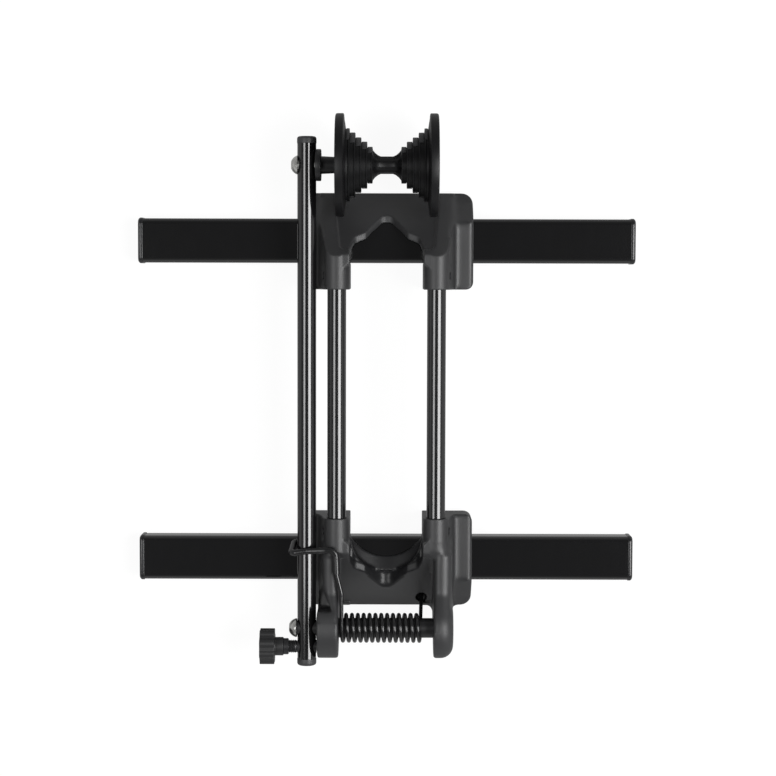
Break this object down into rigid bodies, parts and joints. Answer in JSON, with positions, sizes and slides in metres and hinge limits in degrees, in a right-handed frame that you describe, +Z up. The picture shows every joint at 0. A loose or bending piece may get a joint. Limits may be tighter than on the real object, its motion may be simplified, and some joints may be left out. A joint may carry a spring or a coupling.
{
  "type": "bike display stand",
  "caption": "Folding floor stand that holds a bicycle by one wheel, with two notched cradles on flat legs and a sprung swing arm with a V roller.",
  "frame": {"origin": "on the floor, at the centre of the bounding box's bottom", "axes": "+X to the right along the legs, +Y along the wheel from the pivot end to the roller end, +Z up; the arm lies folded flat along +Y on the left"},
  "size_m": [0.36, 0.394, 0.0815],
  "materials": {
    "leg_paint": "gloss black powder coat",
    "rod_paint": "gloss black coat on round rod",
    "arm_paint": "gloss black coat on round tube",
    "cradle_plastic": "moulded black plastic with a fine matte grain",
    "leg_cap_plastic": "smooth black plastic",
    "arm_cap_plastic": "matte black plastic",
    "roller_plastic": "satin black moulded plastic",
    "knob_plastic": "matte black moulded plastic",
    "sleeve_plastic": "satin black plastic",
    "spring_steel": "black coated spring wire",
    "shrink_sleeve": "black shrink tubing",
    "plunger_steel": "blackened steel",
    "chrome_bolt": "polished",
    "zinc_steel": "zinc plated"
  },
  "bodies": {
    "base": {"rear_leg_tube": "leg_paint", "front_leg_tube": "leg_paint", "rear_left_leg_cap": "leg_cap_plastic", "rear_right_leg_cap": "leg_cap_plastic", "front_left_leg_cap": "leg_cap_plastic", "front_right_leg_cap": "leg_cap_plastic", "left_rod": "rod_paint", "right_rod": "rod_paint", "rear_cradle": "cradle_plastic", "front_cradle": "cradle_plastic", "leg_screws": "zinc_steel", "rod_set_screws": "plunger_steel", "pivot_bolt": "chrome_bolt", "pivot_nut": "zinc_steel", "pivot_bushing": "sleeve_plastic", "pivot_washer": "sleeve_plastic", "spring_core_sleeve": "sleeve_plastic", "torsion_spring": "spring_steel"},
    "arm": {"arm_tube": "arm_paint", "arm_top_cap": "arm_cap_plastic", "arm_bottom_cap": "arm_cap_plastic", "spring_shrink_sleeve": "shrink_sleeve", "roller_bolt": "chrome_bolt", "roller_seat": "sleeve_plastic", "roller_spacer": "sleeve_plastic", "roller_end_washer": "zinc_steel", "roller_nut": "zinc_steel", "plunger_barrel": "plunger_steel", "plunger_spring": "zinc_steel"},
    "roller": {"v_roller": "roller_plastic", "roller_left_bush": "zinc_steel", "roller_right_bush": "zinc_steel"},
    "plunger": {"plunger_knob": "knob_plastic", "plunger_pin": "zinc_steel"}
  },
  "joints": [
    {"name": "arm_pivot", "type": "hinge", "parent": "base", "child": "arm", "pos_m": [-0.0568, -0.17011, 0.045], "axis": [1, 0, 0], "range_deg": [0, 130], "stiffness_Nm_per_rad": 0.67, "springref_deg": -20.05, "deforming": ["torsion_spring"]},
    {"name": "roller_spin", "type": "hinge", "parent": "arm", "child": "roller", "pos_m": [0, 0.16051, 0.045], "axis": [1, 0, 0], "continuous": true},
    {"name": "plunger_slide", "type": "slide", "parent": "arm", "child": "plunger", "axis": [1, 0, 0], "range_m": [0, 0.0055], "deforming": ["plunger_spring"]}
  ]
}
